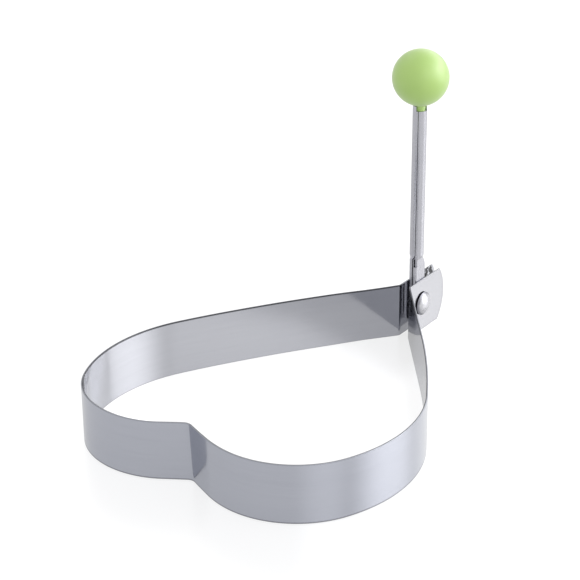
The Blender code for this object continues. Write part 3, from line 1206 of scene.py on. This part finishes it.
@dataclass
class HingeRivet:
    """The rivet: a domed head in front, a shank through ears and foot, a low tail behind."""

    hinge: Vector
    shank_radius: float = 1.25 * MM
    head_radius: float = 3.5 * MM
    head_height: float = 1.5 * MM
    head_edge: float = 0.1 * MM
    tail_radius: float = 2.2 * MM
    tail_height: float = 0.8 * MM
    seat: float = 2.2 * MM
    steps: int = 96
    head_steps: int = 28
    tail_steps: int = 20

    @staticmethod
    def dome(radius: float, height: float, base: float, count: int) -> np.ndarray:
        """A shallow cap of a sphere.

        The sphere's radius is half the sum of the cap's height and its radius squared over that height.

        Args:
            radius: the cap's own radius.
            height: the crown's height over the rim.
            base: the rim's place along the axis.
            count: places from crown to rim.

        Returns:
            Rows of radius and height, from the crown to the rim.
        """
        curve = (radius**2 + height**2) / 2 / height
        angle = np.linspace(0, math.asin(radius / curve), count)
        return np.stack([curve * np.sin(angle), base + height - curve + curve * np.cos(angle)], -1)

    def profile(self) -> np.ndarray:
        """Draws half the rivet: head, its upright edge, the shank and the tail's dome.

        Returns:
            Rows of radius and place along the axis, from the head's crown down.
        """
        cap = self.head_height - self.head_edge
        head = self.dome(self.head_radius, cap, self.seat + self.head_edge, self.head_steps)
        tail = self.dome(self.tail_radius, self.tail_height, self.seat, self.tail_steps)
        stem = [
            (self.head_radius, self.seat),
            (self.shank_radius, self.seat),
            (self.shank_radius, -self.seat),
        ]
        return np.concatenate([head, np.array(stem), tail[::-1] * np.array([1, -1])])

    def build(self) -> bpy.types.Object:
        """Turns the profile about the hinge's axis, with the head towards the front.

        Returns:
            The rivet's object.
        """
        hinge = self.hinge

        def place(across: np.ndarray, other: np.ndarray, along: np.ndarray) -> np.ndarray:
            """Lays the turning axis along the hinge, head towards -Y."""
            return np.stack([hinge.x + across, hinge.y - along, hinge.z + other], -1)

        piece = turned("hinge_rivet_steel", self.profile(), self.steps, place)
        shade(piece)
        finish = HeadedRivetFinish(tuple(hinge), self.head_radius)
        piece.data.materials.append(finish.material())
        return piece


# Studio


@dataclass(frozen=True)
class SoftBox:
    """A soft lamp with a round front that faces the ring.

    Azimuth and elevation are in degrees, distance and size in metres, and power in watts.
    """

    name: str
    azimuth: float
    elevation: float
    distance: float
    size: tuple[float, float]
    power: float
    fade: float = 1.5

    def place(self) -> bpy.types.Object:
        """Hangs the lamp at its azimuth and elevation, in degrees, aimed at the ring's middle.

        Its front is brightest in the middle and fades as one less the distance out squared, to a power.

        Returns:
            The lamp's object.
        """
        lamp = bpy.data.lights.new(self.name, "AREA")
        lamp.shape = "ELLIPSE"
        lamp.size, lamp.size_y = self.size
        lamp.energy = self.power
        board = Board(lamp, "ShaderNodeOutputLight")
        spot = board.node("ShaderNodeNewGeometry", {}, {}).outputs["Parametric"]
        parts = board.node("ShaderNodeSeparateXYZ", {}, {0: spot})
        across, up = (Value(board, parts.outputs[index]) * 2.0 - 1.0 for index in (0, 1))
        front = (1.0 - (across * across + up * up)).math("MAXIMUM", 0.0)
        board.finish(board.node("ShaderNodeEmission", {}, {"Strength": front ** self.fade}))
        hung = bpy.data.objects.new(self.name, lamp)
        bpy.context.scene.collection.objects.link(hung)
        turn, rise = math.radians(self.azimuth), math.radians(self.elevation)
        aim = Vector((math.cos(turn) * math.cos(rise), math.sin(turn) * math.cos(rise), math.sin(rise)))
        hung.location = aim * self.distance
        hung.rotation_euler = aim.to_track_quat("Z", "Y").to_euler()
        return hung


@dataclass
class Studio:
    """A plain white table and surround, soft lamps, and the camera.

    The camera's turn is in degrees and its lens in millimetres.
    """

    camera_place: tuple[float, float, float] = (-0.35874, -0.23808, 0.22258)
    camera_turn: tuple[float, float, float] = (66.0047, 0.4257, -55.5007)
    lens: float = 109.823
    table_size: float = 8.0
    table_shade: float = 0.18
    table_gloss: float = 0.26
    table_lift: float = 0.28
    table_glow: float = 0.48
    surround: float = 0.86
    lamps: tuple[SoftBox, ...] = (
        SoftBox("key_softbox", -53.0, 28.0, 1.1, (1.35, 0.60), 9.5),
        SoftBox("low_softbox", -56.0, 2.0, 1.1, (1.50, 0.50), 5.5),
        SoftBox("left_fill_softbox", -114.0, 28.0, 1.2, (1.60, 0.60), 3.2),
        SoftBox("right_fill_softbox", -5.0, 31.0, 1.2, (1.90, 0.90), 7.5),
        SoftBox("back_softbox", 80.0, 58.0, 1.2, (0.80, 0.60), 1.0),
        SoftBox("top_softbox", -80.0, 62.0, 1.2, (1.60, 1.60), 2.7),
    )

    def table(self) -> bpy.types.Object:
        """A wide light table: it glows a little, is white to the camera, and keeps shadows.

        Returns:
            The table.
        """
        half = self.table_size / 2
        points = np.array([(-half, -half, 0), (half, -half, 0), (half, half, 0), (-half, half, 0)])
        mesh = bpy.data.meshes.new("white_table")
        mesh.from_pydata(points.tolist(), [], [(0, 1, 2, 3)])
        sheet = bpy.data.objects.new("white_table", mesh)
        bpy.context.scene.collection.objects.link(sheet)
        board = Board.for_material("white_table")
        rays = board.node("ShaderNodeLightPath", {}, {})
        seen = Value(board, rays.outputs["Is Camera Ray"])
        white = (self.table_shade,) * 3 + (1.0,)
        sockets = {
            "Base Color": white,
            "Roughness": self.table_gloss,
            "Specular IOR Level": 1.0,
            "Coat Weight": 1.0,
            "Coat Roughness": self.table_gloss,
        }
        lacquer = board.node("ShaderNodeBsdfPrincipled", {}, sockets)
        level = seen * self.table_lift + self.table_glow
        glow = board.node("ShaderNodeEmission", {}, {"Strength": level})
        both = board.node("ShaderNodeAddShader", {}, {0: lacquer.outputs[0], 1: glow.outputs[0]})
        mesh.materials.append(board.finish(both))
        return sheet

    def world(self) -> None:
        """A white surround to the camera and in gloss, and a plain level of light elsewhere."""
        world = bpy.data.worlds.new("white_surround")
        board = Board(world, "ShaderNodeOutputWorld")
        rays = board.node("ShaderNodeLightPath", {}, {}).outputs
        seen = Value(board, rays["Is Camera Ray"]).math("MAXIMUM", rays["Is Glossy Ray"])
        level = seen * (1.0 - self.surround) + self.surround
        board.finish(board.node("ShaderNodeBackground", {}, {"Strength": level}))
        bpy.context.scene.world = world

    def camera(self) -> bpy.types.Object:
        """The camera at the photograph's place and angle.

        Returns:
            The camera's object, which the scene looks through.
        """
        eye = bpy.data.cameras.new("camera")
        eye.lens = self.lens
        eye.sensor_width = 36.0
        eye.clip_start = 0.01
        held = bpy.data.objects.new("camera", eye)
        bpy.context.scene.collection.objects.link(held)
        held.location = self.camera_place
        held.rotation_euler = [math.radians(angle) for angle in self.camera_turn]
        bpy.context.scene.camera = held
        return held

    def build(self) -> None:
        """Sets up table, surround, lamps and camera."""
        bpy.context.scene.view_settings.view_transform = "Standard"
        self.table()
        self.world()
        self.camera()
        for lamp in self.lamps:
            lamp.place()


# Main


def main() -> None:
    """Loads the frame, builds the pieces over it in order, logs each one's faces and carrier, and sets up
    the studio.
    """
    logging.basicConfig(level=logging.INFO, format="%(message)s")
    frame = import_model()
    hinge = Vector(frame["joints"][0]["pos_m"])
    makers = [
        (HeartStrip(hinge), Part.STRIP, Carrier.RING, Slot.STRIP),
        (RolledHandle(hinge), Part.HANDLE, Carrier.HANDLE, Slot.HANDLE),
        (BallKnob(hinge), Part.KNOB, Carrier.HANDLE, Slot.KNOB),
        (HingeRivet(hinge), Part.RIVET, Carrier.RING, Slot.RIVET),
    ]
    for maker, part, carrier, slot in makers:
        piece = maker.build()
        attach(piece, carrier.value)
        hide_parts(part.value)
        LOG.info("%s: %d faces, rides on %s", piece.name, len(piece.data.polygons), carrier.value)
    Studio().build()


if __name__ == "__main__":
    main()
